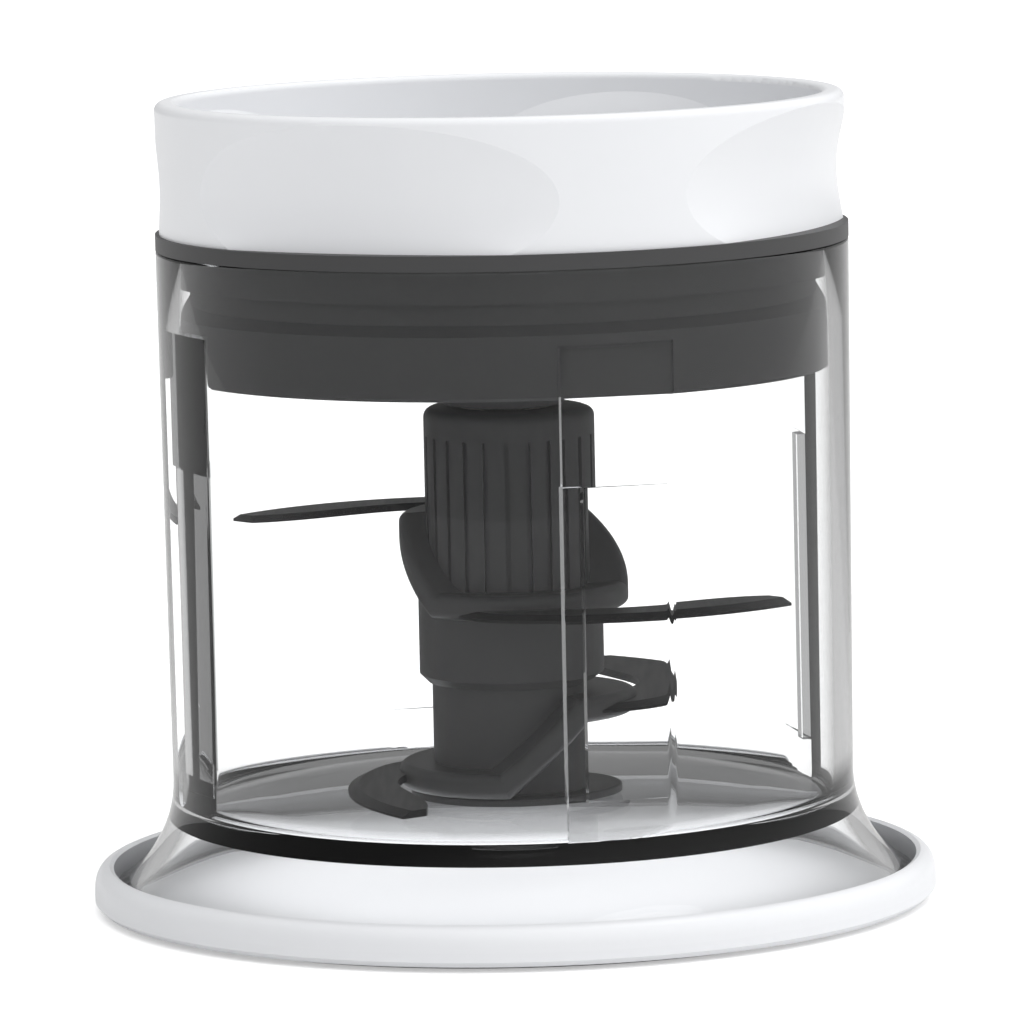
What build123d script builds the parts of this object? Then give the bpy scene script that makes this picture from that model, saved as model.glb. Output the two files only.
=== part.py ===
from build123d import *
import os
from math import acos, atan2, cos, degrees, pi, radians, sin, sqrt, tan

# Chopper bowl of a hand-held food processor: base plate, clear bowl, two-level blade unit and geared lid.
# The frame stands on the centre of the base plate's underside: +Z up, -Y towards the viewer, +X to the right.
# All lengths are millimetres and all angles are degrees.

os.makedirs("parts", exist_ok=True)

# ---- Bowl ----
bowl_radius = 64.0              # outside, at the rim
bowl_taper = 0.7                # how much slimmer the wall is just above the foot
bowl_wall = 3.4
bowl_depth = 103.4              # floor to rim
bowl_floor_thickness = 3.4
floor_corner_radius = 3.0
foot_spread = 10.3              # how far the foot reaches beyond the rim radius
foot_height = 20.7              # height of the flare above the foot's lower edge
foot_edge_height = 1.0
foot_wall = 3.2                 # thickness of the flare
floor_lift = 12.4               # underside of the floor above the foot's lower edge

# ---- Wedge ribs inside the bowl ----
rib_count = 4
rib_angle = 9.3                 # steep side of the first rib, from the front towards the right
rib_sweep = 19.7                # angle over which a rib fades into the wall
rib_height = 4.0                # bead of the main run, above the wall
rib_bead_width = 3.6
rib_web_height = 1.1            # web behind the bead of the main run
rib_fade = 0.4                  # how deep the feathered side ends inside the wall
slim_rib_height = 2.8           # upper and lower runs
main_rib_bottom = 7.6           # above the bowl's floor
main_rib_length = 56.5
rib_top_drop = 14.2             # top end of the ribs below the bowl's rim

# ---- Base plate ----
foot_clearance = 0.5            # between the foot and the plate's rim
plate_rim_width = 3.6
plate_rim_height = 7.3          # top of the rim above the plate's underside
plate_floor_thickness = 2.0
plate_edge_chamfer = 1.0
plate_shoulder_height = 2.6     # straight part of the rim's outside
plate_lip_width = 0.8
plate_lip_drop = 0.4
grip_ring_stand = 1.0           # how far the grip ring stands below the plate
grip_ring_width = 5.0
grip_ring_inset = 5.0           # from the plate's edge to the grip ring
grip_groove_depth = 0.8
grip_ring_round = 0.6
seat_ring_thickness = 0.6
seat_ring_width = 5.0

# ---- Lid insert ----
lid_gap = 0.1                   # between the bowl's rim and the lid's flange
flange_thickness = 2.9
plug_clearance = 0.15           # upper band inside the bowl's rim
skirt_clearance = 0.3
upper_band_height = 6.1
groove_depth = 2.0
groove_height = 4.0
skirt_chamfer = 1.8
skirt_edge_chamfer = 0.6
skirt_depth = 23.5              # bottom of the skirt below the flange
insert_wall = 5.8               # from the upper band's outside to the inner cavity
insert_floor_thickness = 2.5
neck_radius = 11.5
neck_length = 7.6
recess_clearance = 0.5
gasket_width = 2.4
gasket_thickness = 1.2
gasket_inset = 0.5              # from the flange's edge to the gasket

# ---- White housing ----
housing_height = 24.3
housing_inset_low = 0.8         # inside the flange's edge, at the bottom
housing_inset_top = 0.4
housing_wall = 4.2
rim_round = 1.5
inner_rim_round = 1.2
dent_count = 4
dent_angle = -24.7              # centre of the first dent, from the front towards the right
dent_half_angle = 35.0
dent_depth = 4.6
dent_height = 8.8               # centre of the dents above the housing's lower edge
dent_half_height = 14.3
dent_wall = 2.4                 # wall thickness behind a dent
deck_height = 0.5               # underside of the deck above the flange
deck_thickness = 2.3
lip_depth = 3.0
lip_width = 2.2
lip_clearance = 0.1

# ---- Socket for the motor unit ----
socket_radius = 22.0
socket_wall = 4.0
socket_top_drop = 12.6          # mouth of the socket below the housing's rim
socket_flange_width = 7.0
socket_flange_thickness = 2.4
socket_flange_round = 0.8
socket_mouth_round = 1.2
socket_seat_width = 1.2         # shoulder that the motor unit's nose rests on
socket_seat_gap = 0.5           # shoulder above the coupler
catch_width = 9.0
catch_height = 3.0
catch_depth = 1.6
catch_drop = 1.6

# ---- Planetary gearbox ----
sun_teeth = 12
planet_teeth = 18
gear_module = 1.25
planet_count = 3
pressure_angle = 20.0
tooth_addendum = 0.85           # in modules
tooth_dedendum = 1.1            # in modules
tooth_share = 0.47              # tooth thickness as a share of the pitch
flank_steps = 2                 # straight runs along a tooth's flank
gear_width = 8.0
ring_wall = 4.4                 # ring gear outside its tooth roots
carrier_margin = 5.2            # carrier plate outside the planet pins' centres
carrier_plate_thickness = 3.0
upper_carrier_thickness = 2.5
gear_gap = 0.5                  # between a gear's face and the plates
planet_pin_radius = 2.5
running_clearance = 0.05
thrust_washer_thickness = 1.0
thrust_washer_width = 5.0
washer_gap = 0.1
input_shaft_radius = 3.0
output_shaft_radius = 5.0
shaft_opening_clearance = 1.0
bush_wall = 2.5
bush_flange_thickness = 0.8
bush_flange_width = 1.6
cover_thickness = 2.8
cover_recess_clearance = 0.7
cover_margin = 5.0              # cover outside the gearbox screws' centres
gearbox_boss_gap = 1.0          # between the ring gear and the gearbox's screw bosses
seal_height = 2.5
coupler_radius = 9.0
coupler_base_thickness = 3.0
coupler_height = 6.5
coupler_lobes = 6
coupler_lobe_radius = 2.6
coupler_lobe_circle = 4.0
coupler_core_radius = 5.0
coupler_gap = 0.5
coupler_cap = 1.0               # closed end of the coupler above its shaft

# ---- Screws ----
screw_count = 4
boss_radius = 4.0
boss_clearance = 0.3            # between the cover and the housing's screw bosses
boss_overlap = 0.4              # how far the housing's screw bosses sink into the insert's wall
gearbox_screw_angle = 45.0
housing_screw_angle = 15.0
collar_screw_angle = 45.0
large_screw = dict(shank=1.5, length=14.0, head=3.2, head_height=1.9, head_round=0.8,
                   drive=1.1, drive_depth=1.1)
small_screw = dict(shank=1.0, length=4.0, head=2.2, head_height=1.3, head_round=0.5,
                   drive=0.8, drive_depth=0.8)

# ---- Blade hub ----
pin_radius = 4.0
pin_top_gap = 2.0               # between the pin's end and the drive insert
pin_foot = 2.8                  # length of pin moulded into the bowl's floor
pin_flange_radius = 8.0         # anchoring flange inside the floor
pin_flange_thickness = 1.2
pin_round = 1.6
liner_radius = 9.0
washer_thickness = 0.6
hub_gap = 0.1
foot_ring_radius = 19.0
foot_ring_thickness = 1.4
foot_ring_round = 0.45
hub_foot_radius = 14.7
hub_foot_height = 20.8
hub_sleeve_radius = 17.0
hub_sleeve_height = 15.6
sleeve_chamfer = 1.5
hub_grip_radius = 15.35
crown_gap = 0.6                 # between the crown and the lid's neck
crown_radius = 12.0
crown_height = 2.1
groove_count = 24
groove_width = 0.9
grip_groove_depth_radial = 0.7
grip_groove_end = 3.0           # plain band under the crown
drive_insert_height = 12.5
drive_insert_drop = 0.7         # top of the insert below the crown
dog_across = 8.4                # across the flats of the output dog
dog_length = 8.0
dog_clearance = 0.3
dog_end_gap = 0.6

# ---- Blades ----
blade_thickness = 1.4
blade_tip_clearance = 3.2       # between the blades' tips and the main ribs
lower_blade_step = 13.0         # height between a blade's two wings
upper_blade_step = 15.0
collar_step = 13.0              # height between a collar's two sides
step_half_run = 7.5
blade_ring_margin = 1.2         # collar outside the blade's own ring
lower_blade_height = 4.5        # low wing's middle above the bowl's floor
upper_blade_height = 36.0
lower_blade_angle = -72.0       # where the low wing is, from the front towards the right
upper_blade_angle = 21.0
lower_tip_lead = 50.0           # angle from the low side to the wing's tip
upper_tip_lead = 59.0
lower_collar_radius = 21.1
upper_collar_radius = 20.3
collar_thickness = 4.6
collar_round = 1.6
shortest_rounded_edge = 8.0
edge_width = 2.0                # ground width of the cutting edge
edge_drop = 0.9

# ---- Allowances of the modelling itself ----
cut_margin = 1.0                # how far a cut runs past the faces it opens

# ---- Heights that follow from the sizes above ----
plate_underside = grip_ring_stand
plate_floor_top = plate_underside + plate_floor_thickness
foot_bottom = plate_floor_top + seat_ring_thickness
floor_bottom = foot_bottom + floor_lift
floor_top = floor_bottom + bowl_floor_thickness
bowl_top = floor_top + bowl_depth
flange_bottom = bowl_top + lid_gap
flange_top = flange_bottom + flange_thickness
skirt_bottom = flange_bottom - skirt_depth
insert_floor_top = skirt_bottom + insert_floor_thickness
neck_bottom = skirt_bottom - neck_length
housing_top = flange_top + housing_height
deck_bottom = flange_top + deck_height
deck_top = deck_bottom + deck_thickness
socket_top = housing_top - socket_top_drop

# ---- Radii that follow ----
foot_radius = bowl_radius + foot_spread
plate_inner_radius = foot_radius + foot_clearance
plate_radius = plate_inner_radius + plate_rim_width
bowl_low_radius = bowl_radius - bowl_taper
inner_rim_radius = bowl_radius - bowl_wall
inner_floor_radius = bowl_low_radius - bowl_wall
upper_band_radius = inner_rim_radius - plug_clearance
groove_radius = upper_band_radius - groove_depth
cavity_radius = upper_band_radius - insert_wall
housing_radius = bowl_radius - housing_inset_top
housing_low_radius = bowl_radius - housing_inset_low
socket_outer_radius = socket_radius + socket_wall


def inner_wall_radius(height):
    """Radius of the bowl's inner wall at a height."""
    share = (height - floor_top) / bowl_depth
    return inner_floor_radius + (inner_rim_radius - inner_floor_radius) * share


skirt_radius = inner_wall_radius(skirt_bottom) - skirt_clearance

# ---- Gear sizes that follow ----
ring_teeth = sun_teeth + 2 * planet_teeth
planet_orbit = gear_module * (sun_teeth + planet_teeth) / 2
ring_root_radius = gear_module * ring_teeth / 2 + tooth_dedendum * gear_module
ring_outer_radius = ring_root_radius + ring_wall
carrier_radius = planet_orbit + carrier_margin
carrier_bottom = insert_floor_top + thrust_washer_thickness + washer_gap
lower_carrier_top = carrier_bottom + carrier_plate_thickness
gear_bottom = lower_carrier_top + gear_gap
gear_top = gear_bottom + gear_width
upper_carrier_bottom = gear_top + gear_gap
upper_carrier_top = upper_carrier_bottom + upper_carrier_thickness
cover_bottom = upper_carrier_bottom
cover_recess_top = upper_carrier_top + cover_recess_clearance
cover_top = cover_recess_top + cover_thickness
gearbox_screw_circle = ring_outer_radius + boss_radius + gearbox_boss_gap
cover_radius = gearbox_screw_circle + cover_margin
housing_screw_circle = cavity_radius - boss_radius + boss_overlap
collar_screw_circle = socket_outer_radius + socket_flange_width / 2
gearbox_screws = dict(screw=large_screw, circle=gearbox_screw_circle, angle=gearbox_screw_angle,
                      seat=cover_top)
housing_screws = dict(screw=large_screw, circle=housing_screw_circle, angle=housing_screw_angle,
                      seat=deck_top)
collar_screws = dict(screw=small_screw, circle=collar_screw_circle, angle=collar_screw_angle,
                     seat=deck_top + socket_flange_thickness)
coupler_bottom = cover_top + bush_flange_thickness + coupler_gap
coupler_top = coupler_bottom + coupler_height
socket_seat_height = coupler_top + socket_seat_gap

# ---- Hub sizes that follow ----
hub_bottom = floor_top + washer_thickness + hub_gap
sleeve_bottom = hub_bottom + hub_foot_height
grip_bottom = sleeve_bottom + hub_sleeve_height
crown_top = neck_bottom - crown_gap
grip_top = crown_top - crown_height
insert_top = crown_top - drive_insert_drop
insert_bottom = insert_top - drive_insert_height
pin_top = insert_bottom - pin_top_gap
pin_bottom = floor_top - pin_foot
dog_top = neck_bottom
dog_bottom = dog_top - dog_length
blade_reach = inner_floor_radius - rib_height - blade_tip_clearance


# ---- Rib sizes that follow ----
main_rib_low = floor_top + main_rib_bottom
main_rib_high = main_rib_low + main_rib_length
rib_top = bowl_top - rib_top_drop
slim_ridge_radius = inner_wall_radius(rib_top) - slim_rib_height
bead_radius = inner_floor_radius - rib_height
web_radius = inner_floor_radius - rib_web_height
bead_sweep = degrees(rib_bead_width / bead_radius)


# ---- Shape helpers ----
def turned(*points):
    """Solid of revolution about Z of a closed outline of (radius, height) points."""
    outline = Plane.XZ * make_face(Polyline(*points, close=True))
    return revolve(outline, axis=Axis.Z)


def tube(inner, outer, low, high):
    """Straight ring, or a disc where the inner radius is zero."""
    solid = Pos(0, 0, low) * extrude(Circle(outer), high - low)
    if inner > 0:
        solid -= Pos(0, 0, low) * extrude(Circle(inner), high - low)
    return solid


def round_edges(solid, radius, height, amount):
    """Fillet the circular edges about Z with a given radius and height."""
    chosen = [
        edge
        for edge in solid.edges().filter_by(GeomType.CIRCLE)
        if abs(edge.radius - radius) < 0.01 and abs(edge.center(CenterOf.MASS).Z - height) < 0.01
    ]
    return fillet(chosen, amount)


def at_angle(angle, radius=0.0, height=0.0):
    """Place at an angle from the front (-Y) towards the right (+X)."""
    return Rot(0, 0, angle - 90) * Pos(radius, 0, height)


def polar(radius, angle):
    """Plan point at an angle from the front towards the right."""
    return (radius * sin(radians(angle)), -radius * cos(radians(angle)))


def single(shape):
    """The one solid of a shape."""
    solids = shape.solids()
    assert len(solids) == 1, f"expected one solid, found {len(solids)}"
    return solids[0]


parts = {}


# ---- Base ----
def make_base_plate():
    rim_top = plate_underside + plate_rim_height
    shoulder = plate_underside + plate_shoulder_height
    bottom_radius = plate_radius - plate_edge_chamfer
    edge_top = plate_underside + plate_edge_chamfer
    lip_radius = plate_inner_radius + plate_lip_width
    lip_bottom = rim_top - plate_lip_drop
    outline = [
        Line((0, plate_underside), (bottom_radius, plate_underside)),
        Line((bottom_radius, plate_underside), (plate_radius, edge_top)),
        Line((plate_radius, edge_top), (plate_radius, shoulder)),
        Spline((plate_radius, shoulder), (lip_radius, rim_top), tangents=((0, 1), (-1, 0.15))),
        Line((lip_radius, rim_top), (plate_inner_radius, lip_bottom)),
        Line((plate_inner_radius, lip_bottom), (plate_inner_radius, plate_floor_top)),
        Line((plate_inner_radius, plate_floor_top), (0, plate_floor_top)),
        Line((0, plate_floor_top), (0, plate_underside)),
    ]
    plate = revolve(Plane.XZ * make_face(outline), axis=Axis.Z)
    outer = plate_radius - grip_ring_inset
    return plate - tube(outer - grip_ring_width, outer, plate_underside, plate_underside + grip_groove_depth)


def make_grip_ring():
    outer = plate_radius - grip_ring_inset
    ring = tube(outer - grip_ring_width, outer, 0, plate_underside + grip_groove_depth)
    ring = round_edges(ring, outer, 0, grip_ring_round)
    return round_edges(ring, outer - grip_ring_width, 0, grip_ring_round)


def make_seat_ring():
    return tube(foot_radius - seat_ring_width, foot_radius, plate_floor_top, foot_bottom)


# ---- Bowl ----
def rib_prism(ridge, start, end, inside_end, outside, low, high):
    """Wedge in plan from a steep side at start to a feathered side at end."""
    corners = [polar(outside, start), polar(ridge, start), polar(inside_end, end), polar(outside, end)]
    return Pos(0, 0, low) * extrude(make_face(Polyline(*corners, close=True)), high - low)


def make_ribs():
    """All the ribs: a wedge above and below, and a bead with a low web on the main run between them."""
    embed = inner_floor_radius + bowl_wall / 2
    fade = inner_floor_radius + rib_fade
    root = floor_top - bowl_floor_thickness / 2
    ribs = []
    for index in range(rib_count):
        start = rib_angle + index * 360 / rib_count
        end = start + rib_sweep
        bead_end = start + bead_sweep
        ribs.append(rib_prism(slim_ridge_radius, start, end, fade, embed, root, main_rib_low))
        ribs.append(rib_prism(slim_ridge_radius, start, end, fade, embed, main_rib_high, rib_top))
        ribs.append(rib_prism(bead_radius, start, bead_end, bead_radius, embed, main_rib_low, main_rib_high))
        ribs.append(rib_prism(web_radius, start, end, fade, embed, main_rib_low, main_rib_high))
    return ribs


def make_bowl():
    flare_top = foot_bottom + foot_height
    edge_top = foot_bottom + foot_edge_height
    spread = foot_radius - bowl_low_radius
    drop = flare_top - edge_top
    flare_radius = (spread ** 2 + drop ** 2) / (2 * spread)
    centre = bowl_low_radius + flare_radius

    def flare(radius, height):
        return (centre - sqrt(radius ** 2 - (flare_top - height) ** 2), height)

    middle = (flare_top + edge_top) / 2
    outline = [
        Line((0, foot_bottom), (foot_radius, foot_bottom)),
        Line((foot_radius, foot_bottom), (foot_radius, edge_top)),
        ThreePointArc((foot_radius, edge_top), flare(flare_radius, middle), (bowl_low_radius, flare_top)),
        Line((bowl_low_radius, flare_top), (bowl_radius, bowl_top)),
        Line((bowl_radius, bowl_top), (0, bowl_top)),
        Line((0, bowl_top), (0, foot_bottom)),
    ]
    outside = revolve(Plane.XZ * make_face(outline), axis=Axis.Z)
    under_radius = flare_radius + foot_wall
    low = flare(under_radius, foot_bottom)
    high = flare(under_radius, floor_bottom)
    under = [
        Line((0, foot_bottom), low),
        ThreePointArc(low, flare(under_radius, (foot_bottom + floor_bottom) / 2), high),
        Line(high, (0, floor_bottom)),
        Line((0, floor_bottom), (0, foot_bottom)),
    ]
    inside = turned((0, floor_top), (inner_floor_radius, floor_top), (inner_rim_radius, bowl_top),
                    (0, bowl_top))
    inside = round_edges(inside, inner_floor_radius, floor_top, floor_corner_radius)
    bowl = outside - revolve(Plane.XZ * make_face(under), axis=Axis.Z) - inside
    for rib in make_ribs():
        bowl += rib
    return bowl - make_blade_pin()


def make_blade_pin():
    pin = tube(0, pin_radius, pin_bottom, pin_top)
    pin = round_edges(pin, pin_radius, pin_top, pin_round)
    return pin + tube(0, pin_flange_radius, pin_bottom, pin_bottom + pin_flange_thickness)


def make_pin_washer():
    return tube(pin_radius, liner_radius, floor_top, floor_top + washer_thickness)


# ---- Blade unit ----
def make_hub_grip():
    outline = [
        Line((liner_radius, grip_bottom), (hub_grip_radius, grip_bottom)),
        Line((hub_grip_radius, grip_bottom), (hub_grip_radius, grip_top)),
        Spline((hub_grip_radius, grip_top), (crown_radius, crown_top), tangents=((0, 1), (-1, 0))),
        Line((crown_radius, crown_top), (liner_radius, crown_top)),
        Line((liner_radius, crown_top), (liner_radius, grip_bottom)),
    ]
    grip = revolve(Plane.XZ * make_face(outline), axis=Axis.Z)
    groove_length = grip_top - grip_groove_end - grip_bottom
    groove = Pos(hub_grip_radius, 0, grip_bottom + groove_length / 2) * Box(
        2 * grip_groove_depth_radial, groove_width, groove_length)
    for index in range(groove_count):
        grip -= Rot(0, 0, index * 360 / groove_count) * groove
    return grip


def make_hub_sleeve():
    return turned((liner_radius, sleeve_bottom), (hub_sleeve_radius - sleeve_chamfer, sleeve_bottom),
                  (hub_sleeve_radius, sleeve_bottom + sleeve_chamfer), (hub_sleeve_radius, grip_bottom),
                  (liner_radius, grip_bottom))


def make_hub_foot():
    ring_top = hub_bottom + foot_ring_thickness
    foot = turned((liner_radius, hub_bottom), (foot_ring_radius, hub_bottom), (foot_ring_radius, ring_top),
                  (hub_foot_radius, ring_top), (hub_foot_radius, sleeve_bottom),
                  (liner_radius, sleeve_bottom))
    return round_edges(foot, foot_ring_radius, ring_top, foot_ring_round)


def make_hub_liner():
    return tube(pin_radius + running_clearance, liner_radius, hub_bottom, insert_bottom)


def make_drive_insert():
    insert = tube(0, liner_radius, insert_bottom, insert_top)
    socket_bottom = dog_bottom - dog_end_gap
    flat_radius = dog_across / 2 + dog_clearance
    socket = extrude(RegularPolygon(flat_radius, 6, major_radius=False), insert_top - socket_bottom)
    return insert - Pos(0, 0, socket_bottom) * socket


def stepped_slab(thickness, step):
    """Slab with a step in it: low on the +X side, a step higher on the -X side."""
    reach = plate_radius
    half = thickness / 2
    shift = half * tan(atan2(step, 2 * step_half_run) / 2)
    line = [(reach, 0), (step_half_run, 0), (-step_half_run, step), (-reach, step)]
    lower = [(s - shift, z - half) for s, z in line]
    upper = [(s + shift, z + half) for s, z in reversed(line)]
    section = Plane.XZ * make_face(Polyline(*lower, *upper, close=True))
    return extrude(section, reach, both=True)


def wing_outline(ring_radius, tip_lead):
    """Plan of one wing: convex cutting edge, cut-off tip and concave back, drawn from its tip direction."""
    def point(angle, share):
        radius = ring_radius + (blade_reach - ring_radius) * share
        return (radius * cos(radians(angle + tip_lead)), radius * sin(radians(angle + tip_lead)))

    root = point(-112, 0)
    tip = point(0, 1)
    tip_back = point(3.2, 0.87)
    back_root = point(-52, 0)
    edge = [point(-85, 0.17), point(-62, 0.28), point(-38, 0.46), point(-18, 0.7)]
    back = [point(-5, 0.53), point(-24, 0.27)]
    return [
        Spline(root, *edge, tip),
        Line(tip, tip_back),
        Spline(tip_back, *back, back_root),
        Line(back_root, (0, 0)),
        Line((0, 0), root),
    ]


def ground_edge(blade, top):
    """Grind the long convex edge of the wing whose upper face is at a height."""
    upward = [face for face in blade.faces() if face.normal_at().Z > 0.99]
    face = min(upward, key=lambda candidate: abs(candidate.center().Z - top))
    edge = max(face.edges().filter_by(GeomType.BSPLINE), key=lambda candidate: candidate.length)
    return chamfer(edge, edge_width, edge_drop, reference=face)


def make_blade(collar_radius, height, step, angle, tip_lead):
    """Stepped S-blade: a ring round the hub with two wings half a turn apart."""
    ring_radius = collar_radius - blade_ring_margin
    wing = make_face(wing_outline(ring_radius, tip_lead))
    plan = Circle(ring_radius) + wing + Rot(0, 0, 180) * wing
    blank = Pos(0, 0, -blade_thickness) * extrude(plan, step + 2 * blade_thickness)
    sheet = blank & stepped_slab(blade_thickness, step)
    for level in (0, step):
        sheet = ground_edge(sheet, level + blade_thickness / 2)
    return at_angle(angle, 0, floor_top + height) * sheet - hub_envelope()


def hub_envelope():
    """Plain outer shape of the hub's three pieces, which blades and collars fit round."""
    lower = tube(0, hub_foot_radius, hub_bottom, sleeve_bottom)
    ring = tube(0, foot_ring_radius, hub_bottom, hub_bottom + foot_ring_thickness)
    middle = tube(0, hub_sleeve_radius, sleeve_bottom, grip_bottom)
    return lower + ring + middle + tube(0, hub_grip_radius, grip_bottom, crown_top)


def make_collar(collar_radius, height, step, angle, blade):
    """Plastic moulded round a blade's ring, with a step half way up the blade's own."""
    low = height + (step - collar_step) / 2
    blank_height = collar_step + 2 * collar_thickness
    round_blank = Pos(0, 0, -collar_thickness) * extrude(Circle(collar_radius), blank_height)
    slab = round_blank & stepped_slab(collar_thickness, collar_step)
    curved = [edge for edge in slab.edges() if edge.geom_type != GeomType.LINE]
    outer = [edge for edge in curved if edge.length > shortest_rounded_edge]
    slab = fillet(outer, collar_round)
    return at_angle(angle, 0, floor_top + low) * slab - hub_envelope() - blade


# ---- Lid ----
def drilled(solid, group, low, high):
    """Solid with the straight holes of a screw group cut through a range of heights."""
    for index in range(screw_count):
        place = at_angle(group["angle"] + index * 360 / screw_count, group["circle"])
        solid -= place * tube(0, group["screw"]["shank"], low, high)
    return solid


def make_screws(group):
    """Screws with their heads' undersides on the group's seat."""
    screw = group["screw"]
    seat = group["seat"]
    shank = tube(0, screw["shank"], seat - screw["length"], seat)
    head = tube(0, screw["head"], seat, seat + screw["head_height"])
    head = round_edges(head, screw["head"], seat + screw["head_height"], screw["head_round"])
    recess_low = seat + screw["head_height"] - screw["drive_depth"]
    recess = Pos(0, 0, recess_low) * extrude(RegularPolygon(screw["drive"], 6), screw["drive_depth"])
    one = shank + head - recess
    return Compound([
        at_angle(group["angle"] + index * 360 / screw_count, group["circle"]) * single(one)
        for index in range(screw_count)
    ])


def make_lid_insert():
    chamfer_bottom = flange_bottom - upper_band_height - groove_height
    outline = [
        (0, skirt_bottom), (skirt_radius - skirt_edge_chamfer, skirt_bottom),
        (skirt_radius, skirt_bottom + skirt_edge_chamfer),
        (skirt_radius, chamfer_bottom - skirt_chamfer), (groove_radius, chamfer_bottom),
        (groove_radius, chamfer_bottom + groove_height), (upper_band_radius, chamfer_bottom + groove_height),
        (upper_band_radius, flange_bottom), (bowl_radius, flange_bottom), (bowl_radius, flange_top),
        (0, flange_top),
    ]
    insert = turned(*outline)
    insert -= tube(0, cavity_radius, insert_floor_top, flange_top)
    for index in range(screw_count):
        turn = index * 360 / screw_count
        insert += at_angle(gearbox_screw_angle + turn, gearbox_screw_circle) * tube(
            0, boss_radius, insert_floor_top, cover_bottom)
        insert += at_angle(housing_screw_angle + turn, housing_screw_circle) * tube(
            0, boss_radius, insert_floor_top, deck_bottom)
    insert = drilled(insert, gearbox_screws, cover_top - large_screw["length"], cover_bottom)
    insert = drilled(insert, housing_screws, deck_top - large_screw["length"], deck_bottom)
    insert += tube(0, neck_radius, neck_bottom, skirt_bottom)
    insert -= tube(0, output_shaft_radius + bush_wall, neck_bottom, insert_floor_top)
    recess_top = rib_top + recess_clearance
    spare = degrees(recess_clearance / slim_ridge_radius)
    for index in range(rib_count):
        start = rib_angle + index * 360 / rib_count
        insert -= rib_prism(slim_ridge_radius - recess_clearance, start - spare, start + rib_sweep + spare,
                            inner_floor_radius - recess_clearance, bowl_radius,
                            skirt_bottom - cut_margin, recess_top)
    return insert - make_rim_gasket()


def make_rim_gasket():
    outer = bowl_radius - gasket_inset
    return tube(outer - gasket_width, outer, flange_bottom, flange_bottom + gasket_thickness)


def dent_body(inset):
    """Waisted solid whose side is a dent's surface, moved inwards by an inset."""
    edge = housing_radius * sin(radians(dent_half_angle))
    floor_radius = housing_radius - dent_depth
    rise = floor_radius - housing_radius * cos(radians(dent_half_angle))
    plan_radius = (edge ** 2 + rise ** 2) / (2 * rise)
    arc_radius = (dent_half_height ** 2 + dent_depth ** 2) / (2 * dent_depth)
    waist = plan_radius - inset
    round_radius = arc_radius + inset
    low = -dent_height - lip_depth
    high = housing_height - dent_height + cut_margin

    def side(height):
        return (waist + round_radius - sqrt(round_radius ** 2 - height ** 2), height)

    outline = [
        Line((0, low), side(low)),
        ThreePointArc(side(low), side(0), side(high)),
        Line(side(high), (0, high)),
        Line((0, high), (0, low)),
    ]
    solid = revolve(Plane.XZ * make_face(outline), axis=Axis.Z)
    return Pos(floor_radius - plan_radius, 0, flange_top + dent_height) * solid


def make_lid_housing():
    lip_outer = cavity_radius - lip_clearance
    outside = turned((0, flange_top), (housing_low_radius, flange_top), (housing_radius, housing_top),
                     (0, housing_top))
    cup = tube(0, housing_radius - housing_wall, deck_top, housing_top)
    for index in range(dent_count):
        turn = dent_angle + index * 360 / dent_count
        outside &= at_angle(turn) * dent_body(0)
        cup &= at_angle(turn) * dent_body(dent_wall)
    outside = round_edges(outside, housing_radius, housing_top, rim_round)
    housing = outside - cup - tube(0, lip_outer - lip_width, flange_top, deck_bottom)
    housing = round_edges(housing, housing_radius - housing_wall, housing_top, inner_rim_round)
    housing += tube(lip_outer - lip_width, lip_outer, flange_top - lip_depth, flange_top)
    housing -= tube(0, socket_outer_radius, deck_bottom, deck_top)
    for index in range(screw_count):
        turn = index * 360 / screw_count
        housing -= at_angle(housing_screw_angle + turn, housing_screw_circle) * tube(
            0, boss_radius + lip_clearance, flange_top - lip_depth, deck_bottom)
    housing = drilled(housing, housing_screws, deck_bottom, deck_top)
    return drilled(housing, collar_screws, deck_bottom, deck_top)


def make_socket_collar():
    flange_high = deck_top + socket_flange_thickness
    outer = socket_outer_radius + socket_flange_width
    seat_radius = socket_radius - socket_seat_width
    collar = turned((seat_radius, cover_top), (socket_outer_radius, cover_top),
                    (socket_outer_radius, deck_top), (outer, deck_top), (outer, flange_high),
                    (socket_outer_radius, flange_high),
                    (socket_outer_radius, socket_top), (socket_radius, socket_top),
                    (socket_radius, socket_seat_height), (seat_radius, socket_seat_height))
    collar = round_edges(collar, outer, flange_high, socket_flange_round)
    collar = round_edges(collar, socket_outer_radius, socket_top, socket_mouth_round)
    catch = Pos(socket_radius, 0, socket_top - catch_drop - catch_height / 2) * Box(
        2 * catch_depth, catch_width, catch_height)
    collar -= catch
    collar -= Rot(0, 0, 180) * catch
    return drilled(collar, collar_screws, deck_top, flange_high)


def make_gearbox_cover():
    cover = tube(0, cover_radius, cover_bottom, cover_top)
    cover -= tube(0, ring_outer_radius - ring_wall, cover_bottom, cover_recess_top)
    cover -= tube(0, input_shaft_radius + bush_wall, cover_recess_top, cover_top)
    for index in range(screw_count):
        place = at_angle(housing_screw_angle + index * 360 / screw_count, housing_screw_circle)
        cover -= place * tube(0, boss_radius + boss_clearance, cover_bottom, cover_top)
    return drilled(cover, gearbox_screws, cover_bottom, cover_top)


def make_input_bush():
    bore = input_shaft_radius + running_clearance
    outer = input_shaft_radius + bush_wall
    bush = tube(bore, outer, cover_recess_top, cover_top)
    return bush + tube(bore, outer + bush_flange_width, cover_top, cover_top + bush_flange_thickness)


def make_output_bush():
    bore = output_shaft_radius + running_clearance
    outer = output_shaft_radius + bush_wall
    return tube(bore, outer, neck_bottom + seal_height, insert_floor_top)


def make_shaft_seal():
    bore = output_shaft_radius + running_clearance
    return tube(bore, output_shaft_radius + bush_wall, neck_bottom, neck_bottom + seal_height)


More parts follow.
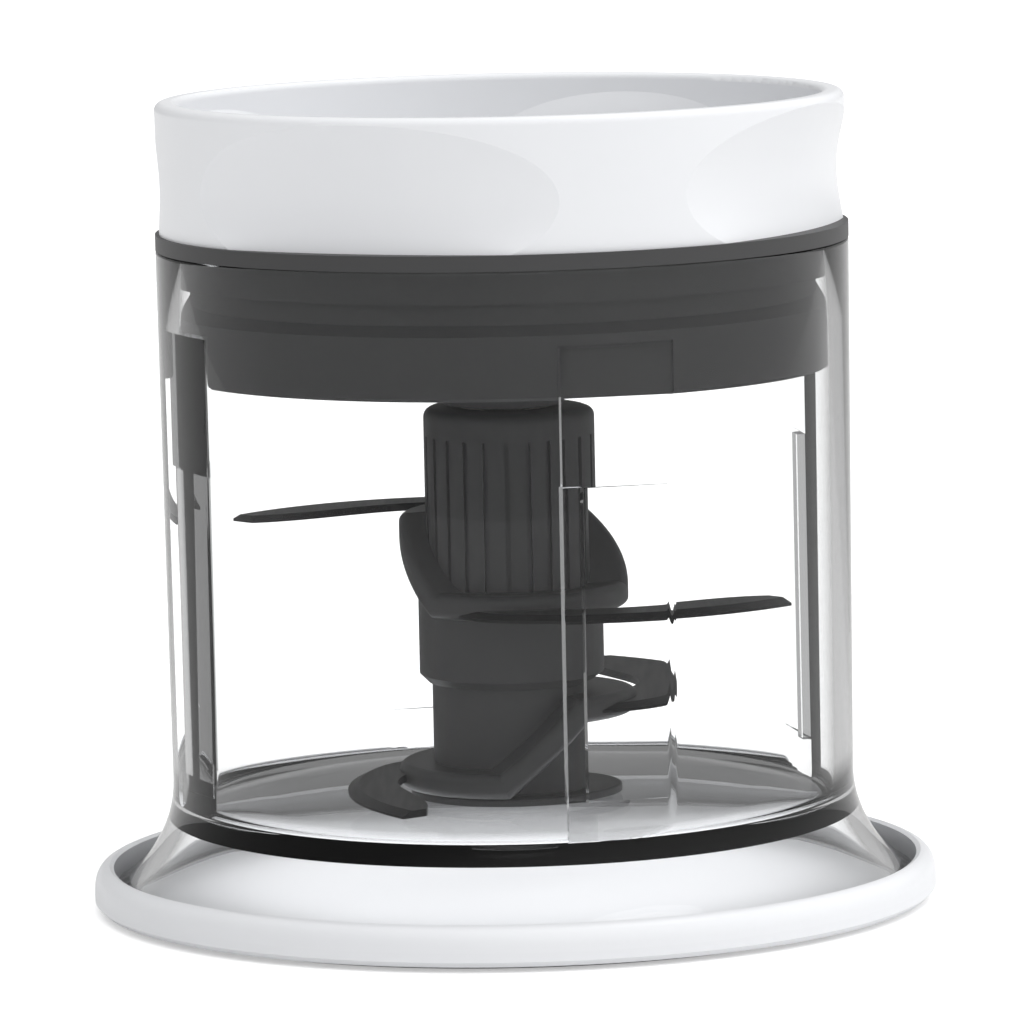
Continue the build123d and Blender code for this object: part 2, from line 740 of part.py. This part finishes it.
def make_thrust_washer():
    inner = output_shaft_radius + bush_wall
    top = insert_floor_top + thrust_washer_thickness
    return tube(inner, inner + thrust_washer_width, insert_floor_top, top)


# ---- Gears ----
def gear_plan(teeth, addendum, dedendum, share):
    """Plan of an involute gear with a tooth centred on +X; addendum and dedendum are in modules."""
    pitch_radius = gear_module * teeth / 2
    base_radius = pitch_radius * cos(radians(pressure_angle))
    root = pitch_radius - dedendum * gear_module
    tip = pitch_radius + addendum * gear_module
    pitch_roll = tan(radians(pressure_angle)) - radians(pressure_angle)
    start = max(root, base_radius)
    flank = [start + (tip - start) * step / flank_steps for step in range(flank_steps + 1)]

    def half_angle(radius):
        roll = sqrt(max((radius / base_radius) ** 2 - 1, 0)) - acos(min(base_radius / radius, 1))
        return share * pi / teeth + pitch_roll - roll

    if root < start:
        flank.insert(0, root)
    points = []
    for tooth in range(teeth):
        middle = 2 * pi * tooth / teeth
        rising = [(radius, middle - half_angle(radius)) for radius in flank]
        falling = [(radius, middle + half_angle(radius)) for radius in reversed(flank)]
        points += [(radius * cos(angle), radius * sin(angle)) for radius, angle in rising + falling]
    return make_face(Polyline(*points, close=True))


def make_ring_gear():
    plan = Circle(ring_outer_radius) - Rot(0, 0, 180 / ring_teeth) * gear_plan(
        ring_teeth, tooth_dedendum, tooth_addendum, 1 - tooth_share)
    return at_angle(0, 0, insert_floor_top) * extrude(plan, cover_bottom - insert_floor_top)


def make_sun_gear():
    plan = gear_plan(sun_teeth, tooth_addendum, tooth_dedendum, tooth_share)
    plan -= Circle(input_shaft_radius)
    return at_angle(0, 0, gear_bottom) * extrude(plan, gear_width)


def make_planet_gear(index):
    plan = gear_plan(planet_teeth, tooth_addendum, tooth_dedendum, tooth_share)
    plan = Rot(0, 0, 180 / planet_teeth) * plan
    plan -= Circle(planet_pin_radius + running_clearance)
    turn = index * 360 / planet_count
    return at_angle(turn, planet_orbit, gear_bottom) * extrude(plan, gear_width)


def carrier_plate(centre_radius, low, high):
    plate = tube(centre_radius, carrier_radius, low, high)
    for index in range(planet_count):
        turn = index * 360 / planet_count
        plate -= at_angle(turn, planet_orbit) * tube(0, planet_pin_radius, low, high)
    return plate


def make_planet_pins():
    pin = tube(0, planet_pin_radius, carrier_bottom, upper_carrier_top)
    return Compound([
        single(at_angle(index * 360 / planet_count, planet_orbit) * pin)
        for index in range(planet_count)
    ])


def make_output_shaft():
    shaft = tube(0, output_shaft_radius, dog_top, lower_carrier_top)
    dog = extrude(RegularPolygon(dog_across / 2, 6, major_radius=False), dog_length)
    return shaft + Pos(0, 0, dog_bottom) * dog


def make_input_shaft():
    return tube(0, input_shaft_radius, gear_bottom, coupler_top - coupler_cap)


def make_drive_coupler():
    base_top = coupler_bottom + coupler_base_thickness
    coupler = tube(0, coupler_radius, coupler_bottom, base_top)
    coupler += tube(0, coupler_core_radius, base_top, coupler_top)
    for index in range(coupler_lobes):
        turn = index * 360 / coupler_lobes
        coupler += at_angle(turn, coupler_lobe_circle) * tube(0, coupler_lobe_radius, base_top, coupler_top)
    return coupler - tube(0, input_shaft_radius, coupler_bottom, coupler_top - coupler_cap)


# ---- Put the pieces together ----
parts["base_plate"] = make_base_plate()
parts["base_grip_ring"] = make_grip_ring()
parts["seat_ring"] = make_seat_ring()

parts["bowl"] = make_bowl()
parts["blade_pin"] = make_blade_pin()
parts["pin_washer"] = make_pin_washer()

parts["hub_grip"] = make_hub_grip()
parts["hub_sleeve"] = make_hub_sleeve()
parts["hub_foot"] = make_hub_foot()
parts["hub_liner"] = make_hub_liner()
parts["drive_insert"] = make_drive_insert()
for level, radius, height, step, angle, lead in (
    ("lower", lower_collar_radius, lower_blade_height, lower_blade_step, lower_blade_angle, lower_tip_lead),
    ("upper", upper_collar_radius, upper_blade_height, upper_blade_step, upper_blade_angle, upper_tip_lead),
):
    blade = make_blade(radius, height, step, angle, lead)
    parts[f"{level}_blade"] = blade
    parts[f"{level}_collar"] = make_collar(radius, height, step, angle, blade)

parts["lid_insert"] = make_lid_insert()
parts["rim_gasket"] = make_rim_gasket()
parts["lid_housing"] = make_lid_housing()
parts["socket_collar"] = make_socket_collar()
parts["gearbox_cover"] = make_gearbox_cover()
parts["ring_gear"] = make_ring_gear()
parts["input_bush"] = make_input_bush()
parts["output_bush"] = make_output_bush()
parts["shaft_seal"] = make_shaft_seal()
parts["thrust_washer"] = make_thrust_washer()
parts["gearbox_screws"] = make_screws(gearbox_screws)
parts["housing_screws"] = make_screws(housing_screws)
parts["collar_screws"] = make_screws(collar_screws)

parts["carrier_lower_plate"] = carrier_plate(output_shaft_radius, carrier_bottom, lower_carrier_top)
parts["carrier_upper_plate"] = carrier_plate(input_shaft_radius + shaft_opening_clearance,
                                             upper_carrier_bottom, upper_carrier_top)
parts["planet_pins"] = make_planet_pins()
parts["output_shaft"] = make_output_shaft()
for planet in range(planet_count):
    parts[f"planet_gear_{planet + 1}"] = make_planet_gear(planet)

parts["drive_coupler"] = make_drive_coupler()
parts["input_shaft"] = make_input_shaft()
parts["sun_gear"] = make_sun_gear()

for name, shape in parts.items():
    export_step(shape, f"parts/{name}.step")
    print(name, len(shape.solids()), round(shape.volume, 1))
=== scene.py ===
import math

import bmesh
import bpy
from mathutils import Matrix, Vector


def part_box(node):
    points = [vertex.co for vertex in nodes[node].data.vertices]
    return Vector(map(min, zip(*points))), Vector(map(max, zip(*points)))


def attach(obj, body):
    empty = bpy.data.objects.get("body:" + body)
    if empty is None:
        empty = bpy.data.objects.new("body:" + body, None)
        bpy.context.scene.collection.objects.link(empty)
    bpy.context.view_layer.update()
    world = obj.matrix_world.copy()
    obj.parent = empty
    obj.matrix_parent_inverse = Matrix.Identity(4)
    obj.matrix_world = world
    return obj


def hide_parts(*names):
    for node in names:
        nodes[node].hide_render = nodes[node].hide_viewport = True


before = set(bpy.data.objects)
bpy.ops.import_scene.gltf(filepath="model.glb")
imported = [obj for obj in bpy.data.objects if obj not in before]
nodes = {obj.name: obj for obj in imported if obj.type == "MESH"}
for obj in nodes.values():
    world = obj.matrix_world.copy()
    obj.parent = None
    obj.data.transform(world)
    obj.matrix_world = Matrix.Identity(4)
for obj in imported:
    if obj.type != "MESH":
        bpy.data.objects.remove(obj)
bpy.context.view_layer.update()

MM = 0.001

# ---- Sizes shared with the bowl and the lid, in metres ----
BOWL_LOW, BOWL_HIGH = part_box("bowl")
FOOT_RADIUS = BOWL_HIGH[0]
FOOT_BOTTOM = BOWL_LOW[2]
BOWL_TOP = BOWL_HIGH[2]
RIM_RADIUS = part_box("lid_insert")[1][0]     # outside of the bowl at its rim
PIN_HOLE_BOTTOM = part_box("blade_pin")[0][2]
FLOOR_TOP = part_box("pin_washer")[0][2]
WALL = 3.4 * MM
TAPER = 0.7 * MM                            # how much slimmer the wall is just above the foot
FLOOR_THICKNESS = 3.4 * MM
CORNER_RADIUS = 3.0 * MM
FLARE_HEIGHT = 20.7 * MM
FOOT_EDGE = 1.0 * MM
FOOT_WALL = 3.2 * MM
PIN_RADIUS = 4.05 * MM                      # hole, a hair wider than the pin
PIN_FLANGE_RADIUS = 8.05 * MM
PIN_FLANGE_TOP = PIN_HOLE_BOTTOM + 1.25 * MM
RIM_ROUND = 0.5 * MM
FLOOR_BOTTOM = FLOOR_TOP - FLOOR_THICKNESS
LOW_RADIUS = RIM_RADIUS - TAPER
INNER_LOW = LOW_RADIUS - WALL
INNER_TOP = RIM_RADIUS - WALL

# ---- Ribs inside the bowl ----
RIB_COUNT = 4
RIB_ANGLE = math.radians(9.3)               # steep side, from the front towards the right
RIB_SWEEP = math.radians(19.7)
BEAD_HEIGHT = 4.0 * MM
BEAD_WIDTH = 3.6 * MM
WEB_HEIGHT = 1.1 * MM
SLIM_HEIGHT = 2.8 * MM
FADE = 0.4 * MM
MAIN_LOW = FLOOR_TOP + 7.6 * MM
MAIN_HIGH = MAIN_LOW + 56.5 * MM
RIB_TOP = BOWL_TOP - 14.2 * MM
STEP_GAP = 0.03 * MM                        # run of a steep side or a ledge


# ---- Camera, in metres and radians ----
CAMERA_LENS = 260.9
CAMERA_SENSOR = 36.0
CAMERA_PLACE = (0.0, -1.3814, 0.2408)
CAMERA_PITCH = 0.122
CAMERA_YAW = -0.0013
CAMERA_ROLL = -0.0213
CLIP_NEAR = 0.05
CLIP_FAR = 50.0


def make_camera():
    data = bpy.data.cameras.new("camera")
    data.sensor_width = CAMERA_SENSOR
    data.lens = CAMERA_LENS
    data.clip_start = CLIP_NEAR
    data.clip_end = CLIP_FAR
    camera = bpy.data.objects.new("camera", data)
    bpy.context.scene.collection.objects.link(camera)
    level = Matrix.Rotation(CAMERA_YAW, 4, "Z")
    tilt = Matrix.Rotation(math.pi / 2 - CAMERA_PITCH, 4, "X")
    roll = Matrix.Rotation(CAMERA_ROLL, 4, "Z")
    camera.matrix_world = Matrix.Translation(CAMERA_PLACE) @ level @ tilt @ roll
    bpy.context.scene.camera = camera


# ---- Material helpers ----
def new_material(name):
    material = bpy.data.materials.new(name)
    material.use_nodes = True
    tree = material.node_tree
    return material, tree, tree.nodes["Principled BSDF"]


def object_noise(tree, scale, detail=3.0, stretch=(1, 1, 1)):
    """Noise in the object's own metres, stretched along an axis where stretch is small."""
    coords = tree.nodes.new("ShaderNodeTexCoord")
    mapping = tree.nodes.new("ShaderNodeMapping")
    mapping.inputs["Scale"].default_value = stretch
    noise = tree.nodes.new("ShaderNodeTexNoise")
    noise.inputs["Scale"].default_value = scale
    noise.inputs["Detail"].default_value = detail
    tree.links.new(coords.outputs["Object"], mapping.inputs["Vector"])
    tree.links.new(mapping.outputs["Vector"], noise.inputs["Vector"])
    return noise.outputs["Fac"]


def ramp(tree, source, low, high):
    node = tree.nodes.new("ShaderNodeMapRange")
    node.inputs["To Min"].default_value = low
    node.inputs["To Max"].default_value = high
    tree.links.new(source, node.inputs["Value"])
    return node.outputs["Result"]


def tint(tree, source, low, high):
    node = tree.nodes.new("ShaderNodeMix")
    node.data_type = "RGBA"
    node.inputs["A"].default_value = (*low, 1)
    node.inputs["B"].default_value = (*high, 1)
    tree.links.new(source, node.inputs["Factor"])
    return node.outputs["Result"]


def bump(tree, shader, source, strength, distance):
    node = tree.nodes.new("ShaderNodeBump")
    node.inputs["Strength"].default_value = strength
    node.inputs["Distance"].default_value = distance
    tree.links.new(source, node.inputs["Height"])
    tree.links.new(node.outputs["Normal"], shader.inputs["Normal"])


# ---- Materials ----
# Noise scales, in repeats per metre, and the depths of the grain they give
CLOUD_SCALE = 25.0
HAZE_SCALE = 60.0
SATIN_SCALE = 900.0
RUBBER_SCALE = 1800.0
GLOSSY_SCALE = 2500.0
SHALLOW_GRAIN = 0.002 * MM
MOULD_GRAIN = 0.02 * MM
RUBBER_GRAIN = 0.04 * MM
MOULD_BUMP = 0.1
METAL_BUMP = 0.15
CLEAR_IOR = 1.3
CLEAR_COLOUR = (0.975, 0.978, 0.98, 1)
CLEAR_HAZE = 0.012


def moulded(name, low, high, rough, grain, grain_depth, gloss=0.5):
    """Moulded plastic or rubber: faint flow clouds in the colour and a fine grain in gloss and bump."""
    material, tree, shader = new_material(name)
    cloud = object_noise(tree, CLOUD_SCALE)
    fine = object_noise(tree, grain)
    tree.links.new(tint(tree, cloud, low, high), shader.inputs["Base Color"])
    tree.links.new(ramp(tree, fine, rough[0], rough[1]), shader.inputs["Roughness"])
    shader.inputs["Specular IOR Level"].default_value = gloss
    bump(tree, shader, fine, MOULD_BUMP, grain_depth)
    return material


def clear_plastic():
    material, tree, shader = new_material("clear_plastic")
    shader.inputs["Base Color"].default_value = CLEAR_COLOUR
    shader.inputs["Transmission Weight"].default_value = 1.0
    shader.inputs["IOR"].default_value = CLEAR_IOR
    haze = object_noise(tree, HAZE_SCALE)
    tree.links.new(ramp(tree, haze, 0.0, CLEAR_HAZE), shader.inputs["Roughness"])
    return material


def metal(name, low, high, rough, stretch=(1, 1, 1)):
    """Metal with a brushed or turned grain."""
    material, tree, shader = new_material(name)
    shader.inputs["Metallic"].default_value = 1.0
    streak = object_noise(tree, SATIN_SCALE, 4.0, stretch)
    tree.links.new(tint(tree, streak, low, high), shader.inputs["Base Color"])
    tree.links.new(ramp(tree, streak, rough[0], rough[1]), shader.inputs["Roughness"])
    bump(tree, shader, streak, METAL_BUMP, MOULD_GRAIN)
    return material


def dress(material, *names):
    for name in names:
        mesh = nodes[name].data
        mesh.materials.clear()
        mesh.materials.append(material)


white = moulded("white_plastic", (0.79, 0.80, 0.825), (0.82, 0.83, 0.85), (0.26, 0.34),
                GLOSSY_SCALE, MOULD_GRAIN)
dark = moulded("dark_plastic", (0.050, 0.050, 0.051), (0.056, 0.056, 0.057), (0.48, 0.52),
               SATIN_SCALE, SHALLOW_GRAIN, 0.3)
hub = moulded("hub_plastic", (0.038, 0.038, 0.039), (0.044, 0.044, 0.045), (0.34, 0.38),
              SATIN_SCALE, SHALLOW_GRAIN, 0.4)
soft = moulded("soft_rubber", (0.35, 0.35, 0.36), (0.4, 0.4, 0.41), (0.6, 0.75),
               RUBBER_SCALE, RUBBER_GRAIN)
black = moulded("seal_rubber", (0.02, 0.02, 0.02), (0.03, 0.03, 0.03), (0.5, 0.65),
                RUBBER_SCALE, RUBBER_GRAIN)
natural = moulded("gear_plastic", (0.72, 0.70, 0.62), (0.78, 0.76, 0.69), (0.4, 0.5),
                  RUBBER_SCALE, MOULD_GRAIN)
clear = clear_plastic()
steel = metal("blade_steel", (0.03, 0.03, 0.031), (0.05, 0.05, 0.052), (0.28, 0.42), (1, 0.06, 1))
bright = metal("pin_steel", (0.55, 0.55, 0.56), (0.62, 0.62, 0.63), (0.18, 0.3), (0.1, 0.1, 1))
bronze = metal("bronze", (0.5, 0.33, 0.16), (0.58, 0.4, 0.2), (0.3, 0.42), (0.1, 0.1, 1))

dress(white, "base_plate", "lid_housing")
dress(soft, "base_grip_ring", "seat_ring")
dress(bright, "blade_pin", "pin_washer", "thrust_washer", "gearbox_screws", "housing_screws", "collar_screws",
      "planet_pins", "output_shaft", "input_shaft", "sun_gear")
dress(hub, "hub_grip", "hub_sleeve", "hub_foot", "lower_collar", "upper_collar", "drive_coupler")
dress(natural, "hub_liner", "drive_insert", "ring_gear", "carrier_lower_plate", "carrier_upper_plate",
      "planet_gear_1", "planet_gear_2", "planet_gear_3")
dress(steel, "lower_blade", "upper_blade")
dress(dark, "lid_insert", "gearbox_cover", "socket_collar")
dress(black, "rim_gasket", "shaft_seal")
dress(bronze, "input_bush", "output_bush")


# ---- Lathe with an outline that may change round the axis ----
TURN_STEPS = 480
FLARE_STEPS = 24
SHARP_ANGLE = math.radians(28)


def lathe(name, rows, angles):
    """Closed body of revolution. Each row is a function of the angle that gives (radius, height); the first
    and the last row are points on the axis."""
    mesh = bmesh.new()
    rings = []
    for row in rows[1:-1]:
        ring = []
        for angle in angles:
            radius, height = row(angle)
            ring.append(mesh.verts.new((radius * math.sin(angle), -radius * math.cos(angle), height)))
        rings.append(ring)
    count = len(angles)
    for lower, upper in zip(rings, rings[1:]):
        for index in range(count):
            follower = (index + 1) % count
            mesh.faces.new((lower[index], lower[follower], upper[follower], upper[index]))
    for row, ring in ((rows[0], rings[0]), (rows[-1], rings[-1])):
        pole = mesh.verts.new((0, 0, row(0)[1]))
        for index in range(count):
            mesh.faces.new((pole, ring[index], ring[(index + 1) % count]))
    bmesh.ops.recalc_face_normals(mesh, faces=mesh.faces)
    data = bpy.data.meshes.new(name)
    mesh.to_mesh(data)
    mesh.free()
    data.shade_smooth()
    data.set_sharp_from_angle(angle=SHARP_ANGLE)
    made = bpy.data.objects.new(name, data)
    bpy.context.scene.collection.objects.link(made)
    return made


def fixed(radius, height):
    return lambda angle: (radius, height)


def arc(centre, radius, start, end, steps):
    """Points of (radius, height) along an arc in the section plane, angles from the outward direction."""
    points = []
    for step in range(steps + 1):
        turn = math.radians(start + (end - start) * step / steps)
        points.append((centre[0] + radius * math.cos(turn), centre[1] + radius * math.sin(turn)))
    return points


# ---- Bowl ----
def inner_wall(height):
    share = (height - FLOOR_TOP) / (BOWL_TOP - FLOOR_TOP)
    return INNER_LOW + (INNER_TOP - INNER_LOW) * share


def chord(angle, near, near_angle, far, far_angle):
    """Radius at an angle of the straight line between two plan points."""
    x1, y1 = near * math.sin(near_angle), -near * math.cos(near_angle)
    x2, y2 = far * math.sin(far_angle), -far * math.cos(far_angle)
    across = (x2 - x1) * -math.cos(angle) - (y2 - y1) * math.sin(angle)
    return (x1 * (y2 - y1) - y1 * (x2 - x1)) / -across


def rib_radius(angle, height):
    """Inner radius left by the ribs at an angle and height, or a large number away from them."""
    quarter = 2 * math.pi / RIB_COUNT
    turn = (angle - RIB_ANGLE) % quarter
    if turn > RIB_SWEEP or height > RIB_TOP:
        return RIM_RADIUS
    if height < MAIN_LOW or height > MAIN_HIGH:
        ridge = inner_wall(RIB_TOP) - SLIM_HEIGHT
        return chord(turn, ridge, 0, INNER_LOW + FADE, RIB_SWEEP)
    bead = INNER_LOW - BEAD_HEIGHT
    if turn <= BEAD_WIDTH / bead:
        return bead
    return chord(turn, INNER_LOW - WEB_HEIGHT, 0, INNER_LOW + FADE, RIB_SWEEP)


def ribbed(radius, height):
    """Row of the inner wall, with the ribs standing out of it."""
    return lambda angle: (min(radius, rib_radius(angle, height)), height)


def bowl_angles():
    angles = [2 * math.pi * index / TURN_STEPS for index in range(TURN_STEPS)]
    edge = STEP_GAP / RIM_RADIUS
    bead_end = BEAD_WIDTH / (INNER_LOW - BEAD_HEIGHT)
    for index in range(RIB_COUNT):
        start = RIB_ANGLE + index * 2 * math.pi / RIB_COUNT
        for turn in (-edge, edge, bead_end - edge, bead_end + edge, RIB_SWEEP):
            angles.append((start + turn) % (2 * math.pi))
    return sorted(set(angles))


def bowl_rows():
    corner = (INNER_LOW - CORNER_RADIUS, FLOOR_TOP + CORNER_RADIUS)
    rows = [fixed(0, PIN_HOLE_BOTTOM), fixed(PIN_FLANGE_RADIUS, PIN_HOLE_BOTTOM),
            fixed(PIN_FLANGE_RADIUS, PIN_FLANGE_TOP), fixed(PIN_RADIUS, PIN_FLANGE_TOP),
            fixed(PIN_RADIUS, FLOOR_TOP)]
    rows += [fixed(radius, FLOOR_TOP) for radius in (0.4 * INNER_LOW, 0.8 * INNER_LOW)]
    rows += [ribbed(radius, height) for radius, height in arc(corner, CORNER_RADIUS, -90, 0, 8)]
    for ledge in (MAIN_LOW, MAIN_HIGH, RIB_TOP):
        rows.append(ribbed(inner_wall(ledge), ledge - STEP_GAP))
        rows.append(ribbed(inner_wall(ledge), ledge + STEP_GAP))
    inner_round = arc((INNER_TOP + RIM_ROUND, BOWL_TOP - RIM_ROUND), RIM_ROUND, 180, 90, 4)
    outer_round = arc((RIM_RADIUS - RIM_ROUND, BOWL_TOP - RIM_ROUND), RIM_ROUND, 90, 0, 4)
    rows += [fixed(radius, height) for radius, height in inner_round + outer_round]
    rows += flare_rows()
    rows += [fixed(PIN_FLANGE_RADIUS, FLOOR_BOTTOM), fixed(0, FLOOR_BOTTOM)]
    return rows


def flare_rows():
    """Outside of the foot downwards, across its lower edge and up its inside to the floor."""
    top = FOOT_BOTTOM + FLARE_HEIGHT
    edge_top = FOOT_BOTTOM + FOOT_EDGE
    spread = FOOT_RADIUS - LOW_RADIUS
    drop = top - edge_top
    radius = (spread ** 2 + drop ** 2) / (2 * spread)
    centre = LOW_RADIUS + radius

    def curve(size, height):
        return centre - math.sqrt(size ** 2 - (top - height) ** 2)

    rows = []
    for step in range(FLARE_STEPS + 1):
        height = top + (edge_top - top) * step / FLARE_STEPS
        rows.append(fixed(curve(radius, height), height))
    rows.append(fixed(FOOT_RADIUS, FOOT_BOTTOM))
    for step in range(FLARE_STEPS + 1):
        height = FOOT_BOTTOM + (FLOOR_BOTTOM - FOOT_BOTTOM) * step / FLARE_STEPS
        rows.append(fixed(curve(radius + FOOT_WALL, height), height))
    return rows


def make_bowl():
    bowl = lathe("clear_bowl", bowl_rows(), bowl_angles())
    bowl.data.materials.append(clear)
    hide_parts("bowl")
    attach(bowl, "bowl")


# ---- Studio ----
# Brightness, of full white
DEEP_SHADE = 0.012              # what deep light paths see near the foot and overhead
DEEP_LIGHT = 0.5                # what they see level with the object
DEEP_CROSSED = 0.2              # what they see when they crossed the bowl after turning
STUDIO_WHITE = 0.74             # what lights the object from all round
SHADE_SIDE = 0.64               # of the studio's white, away from the bright side
BRIGHT_SIDE = 2.05
BRIGHT_FROM = (0.45, -0.15, 0.88)
FLOOR_GLOW = 0.4                # keeps the floor white in the picture only
FLOOR_LOW = (0.88, 0.88, 0.88)
FLOOR_HIGH = (0.9, 0.9, 0.9)
FLOOR_GRAIN = 40.0
FLOOR_SIZE = 6.0
FLOOR_NEAR = 0.08               # from here on out the floor goes from deep shade to deep light
FLOOR_FAR = 0.2
LEVEL_RISE = 0.18               # rise of the rays between which the surroundings go from light to shade
STEEP_RISE = 0.32
CROSSED_BOWL = 2.5              # between two and three, and four and five, surfaces of clear plastic
CROSSED_FOOT = 4.5
KEY_PLACE = (0.5, -0.05, 1.25)
KEY_AIM = (0, 0, 0.08)
KEY_SIZE = (0.5, 0.5)
KEY_POWER = 1.2
FILL_DROP = 1.0 * MM            # under the bowl's floor
FILL_SIZE = (0.118, 0.118)
FILL_POWER = 0.045


def plain_mesh(name, points, faces):
    mesh = bpy.data.meshes.new(name)
    mesh.from_pydata(points, [], faces)
    made = bpy.data.objects.new(name, mesh)
    bpy.context.scene.collection.objects.link(made)
    return made


def maths(tree, operation, first, second):
    node = tree.nodes.new("ShaderNodeMath")
    node.operation = operation
    node.use_clamp = True
    for socket, value in zip(node.inputs, (first, second)):
        if isinstance(value, (int, float)):
            socket.default_value = value
        else:
            tree.links.new(value, socket)
    return node.outputs[0]


def deep_paths(tree):
    """Two shares of light paths that met no dull surface: those that were turned inside the clear plastic
    or went through its foot, and of these the ones that were turned and then crossed the bowl."""
    path = tree.nodes.new("ShaderNodeLightPath")
    direct = maths(tree, "LESS_THAN", path.outputs["Diffuse Depth"], 0.5)
    glossy = maths(tree, "GREATER_THAN", path.outputs["Glossy Depth"], 0.5)
    entered = maths(tree, "GREATER_THAN", path.outputs["Transmission Depth"], 0.5)
    crossed = maths(tree, "GREATER_THAN", path.outputs["Transmission Depth"], CROSSED_BOWL)
    foot = maths(tree, "GREATER_THAN", path.outputs["Transmission Depth"], CROSSED_FOOT)
    turned = maths(tree, "MULTIPLY", glossy, entered)
    deep = maths(tree, "MULTIPLY", maths(tree, "MAXIMUM", turned, foot), direct)
    darkest = maths(tree, "MULTIPLY", maths(tree, "MULTIPLY", turned, crossed), direct)
    return deep, darkest, path


def straight_paths(tree, path, share):
    """Light paths that come from the camera, also through the clear plastic unless they were turned in it."""
    passed = maths(tree, "MULTIPLY", path.outputs["Is Transmission Ray"], maths(tree, "LESS_THAN", share, 0.5))
    return maths(tree, "MAXIMUM", path.outputs["Is Camera Ray"], passed)


def smooth_range(tree, source, first, last, low, high):
    node = tree.nodes.new("ShaderNodeMapRange")
    node.interpolation_type = "SMOOTHSTEP"
    for name, value in (("From Min", first), ("From Max", last), ("To Min", low), ("To Max", high)):
        node.inputs[name].default_value = value
    tree.links.new(source, node.inputs["Value"])
    return node.outputs["Result"]


def blend(tree, share, first, second):
    """Number between two numbers or sockets."""
    node = tree.nodes.new("ShaderNodeMix")
    tree.links.new(share, node.inputs["Factor"])
    for name, value in (("A", first), ("B", second)):
        if isinstance(value, (int, float)):
            node.inputs[name].default_value = value
        else:
            tree.links.new(value, node.inputs[name])
    return node.outputs["Result"]


def vector_length(tree, source):
    node = tree.nodes.new("ShaderNodeVectorMath")
    node.operation = "LENGTH"
    tree.links.new(source, node.inputs[0])
    return node.outputs["Value"]


def make_floor():
    size = FLOOR_SIZE
    corners = [(-size, -size, 0), (size, -size, 0), (size, size, 0), (-size, size, 0)]
    floor = plain_mesh("floor", corners, [(0, 1, 2, 3)])
    material, tree, shader = new_material("floor")
    grain = object_noise(tree, FLOOR_GRAIN)
    tree.links.new(tint(tree, grain, FLOOR_LOW, FLOOR_HIGH), shader.inputs["Base Color"])
    shader.inputs["Roughness"].default_value = 0.8
    shader.inputs["Specular IOR Level"].default_value = 0.1
    shader.inputs["Emission Color"].default_value = (1, 1, 1, 1)
    coords = tree.nodes.new("ShaderNodeTexCoord")
    away = vector_length(tree, coords.outputs["Object"])
    # Painted shade: light paths that were turned in the clear plastic or went through its foot see the floor
    # as a flat glow instead of its lit colour. The glow is darkest round the foot, greyer further out, and
    # grey where the path crossed the bowl after turning
    share, darkest, path = deep_paths(tree)
    glow = maths(tree, "MULTIPLY", straight_paths(tree, path, share), FLOOR_GLOW)
    tree.links.new(glow, shader.inputs["Emission Strength"])
    level = smooth_range(tree, away, FLOOR_NEAR, FLOOR_FAR, DEEP_SHADE, DEEP_LIGHT)
    shade = tree.nodes.new("ShaderNodeEmission")
    tree.links.new(blend(tree, darkest, level, DEEP_CROSSED), shade.inputs["Strength"])
    mix = tree.nodes.new("ShaderNodeMixShader")
    tree.links.new(share, mix.inputs["Fac"])
    tree.links.new(shader.outputs["BSDF"], mix.inputs[1])
    tree.links.new(shade.outputs["Emission"], mix.inputs[2])
    tree.links.new(mix.outputs["Shader"], tree.nodes["Material Output"].inputs["Surface"])
    floor.data.materials.append(material)


def make_world():
    """White surroundings, brighter above and to the right, plain white behind the object."""
    world = bpy.data.worlds.new("studio")
    bpy.context.scene.world = world
    world.use_nodes = True
    tree = world.node_tree
    background = tree.nodes["Background"]
    coords = tree.nodes.new("ShaderNodeTexCoord")
    aim = tree.nodes.new("ShaderNodeVectorMath")
    aim.operation = "DOT_PRODUCT"
    aim.inputs[1].default_value = Vector(BRIGHT_FROM).normalized()
    tree.links.new(coords.outputs["Generated"], aim.inputs[0])
    low, high = STUDIO_WHITE * SHADE_SIDE, STUDIO_WHITE * BRIGHT_SIDE
    glow = smooth_range(tree, aim.outputs["Value"], 0.0, 1.0, low, high)
    split = tree.nodes.new("ShaderNodeSeparateXYZ")
    tree.links.new(coords.outputs["Generated"], split.inputs["Vector"])
    steep = maths(tree, "ABSOLUTE", split.outputs["Z"], 0.0)
    level = smooth_range(tree, steep, LEVEL_RISE, STEEP_RISE, DEEP_LIGHT, DEEP_SHADE)
    share, darkest, path = deep_paths(tree)
    deep = blend(tree, darkest, level, DEEP_CROSSED)
    seen = blend(tree, straight_paths(tree, path, share), blend(tree, share, glow, deep), 1.0)
    background.inputs["Color"].default_value = (1, 1, 1, 1)
    tree.links.new(seen, background.inputs["Strength"])


def area_light(name, place, aim, size, power):
    data = bpy.data.lights.new(name, "AREA")
    data.shape = "ELLIPSE"
    data.size, data.size_y = size
    data.energy = power
    light = bpy.data.objects.new(name, data)
    light.location = place
    light.rotation_mode = "QUATERNION"
    light.rotation_quaternion = (Vector(place) - Vector(aim)).to_track_quat("Z", "Y")
    bpy.context.scene.collection.objects.link(light)
    return light


def make_lights():
    area_light("key", KEY_PLACE, KEY_AIM, KEY_SIZE, KEY_POWER)
    foot = area_light("foot_fill", (0, 0, FLOOR_BOTTOM - FILL_DROP), (0, 0, 0), FILL_SIZE, FILL_POWER)
    foot.visible_camera = False
    foot.visible_transmission = False
    foot.visible_glossy = False


make_camera()
make_bowl()
make_world()
make_floor()
make_lights()
bpy.context.scene.view_settings.view_transform = "Standard"
